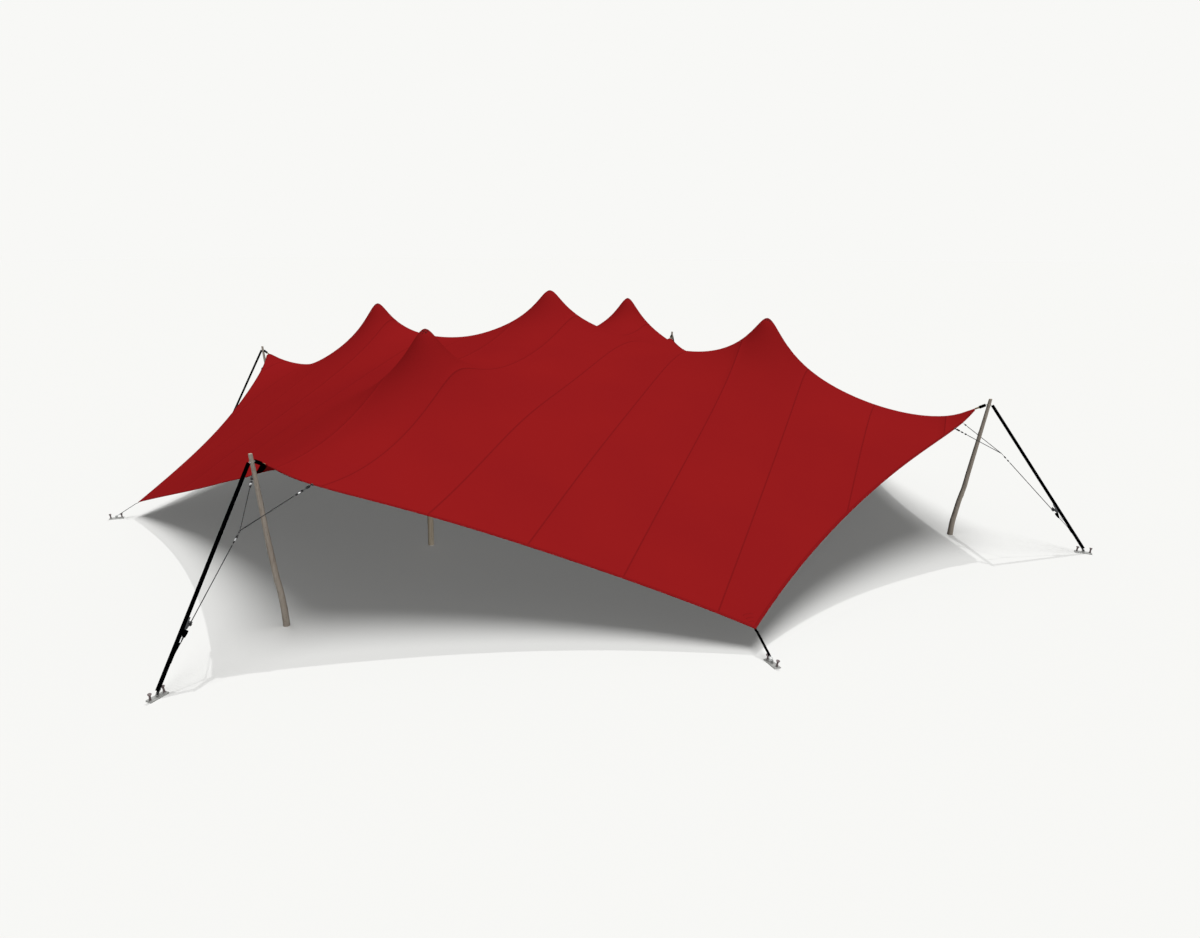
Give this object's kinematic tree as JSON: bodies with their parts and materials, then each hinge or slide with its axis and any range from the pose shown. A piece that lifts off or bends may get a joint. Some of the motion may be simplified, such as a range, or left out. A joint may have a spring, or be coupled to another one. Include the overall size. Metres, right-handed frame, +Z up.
{
  "type": "stretch tent",
  "caption": "Freeform stretch tent: one tensioned sheet peaked over inner poles, hauled up at raised points by leaning poles and strapped down to ground plates between them.",
  "frame": {"origin": "on the ground under the centre pole, at the middle of the bottom of the part's box", "axes": "+Z up; -Y through the front high point, which is nearest in the picture; +X through the right high point; the sheet's seams run along Y"},
  "size_m": [24.5128, 24.513, 5],
  "materials": {
    "cloth": "dark red coated stretch knit, matt",
    "inner_pole": "straight round gum pole, oiled",
    "outer_pole": "natural gum pole, weathered grey-brown",
    "webbing": "black woven polyester webbing",
    "bridle": "galvanised wire rope, clamps and ratchet",
    "anchor": "galvanised plate with worn steel stakes"
  },
  "bodies": {
    "root": {"canopy_panel_01": "cloth", "canopy_panel_02": "cloth", "canopy_panel_03": "cloth", "canopy_panel_04": "cloth", "canopy_panel_05": "cloth", "canopy_panel_06": "cloth", "canopy_panel_07": "cloth", "canopy_panel_08": "cloth", "canopy_panel_09": "cloth", "canopy_panel_10": "cloth", "canopy_panel_11": "cloth", "canopy_panel_12": "cloth", "canopy_panel_13": "cloth", "canopy_panel_14": "cloth", "canopy_panel_15": "cloth", "centre_pole": "inner_pole", "front_inner_pole": "inner_pole", "right_inner_pole": "inner_pole", "back_inner_pole": "inner_pole", "left_inner_pole": "inner_pole", "front_outer_pole": "outer_pole", "right_outer_pole": "outer_pole", "back_outer_pole": "outer_pole", "left_outer_pole": "outer_pole", "front_anchor": "anchor", "right_anchor": "anchor", "back_anchor": "anchor", "left_anchor": "anchor", "front_right_anchor": "anchor", "back_right_anchor": "anchor", "back_left_anchor": "anchor", "front_left_anchor": "anchor", "front_stay_strap": "webbing", "right_stay_strap": "webbing", "back_stay_strap": "webbing", "left_stay_strap": "webbing", "front_bridle": "bridle", "right_bridle": "bridle", "back_bridle": "bridle", "left_bridle": "bridle", "front_right_tie": "webbing", "back_right_tie": "webbing", "back_left_tie": "webbing", "front_left_tie": "webbing"}
  },
  "joints": []
}
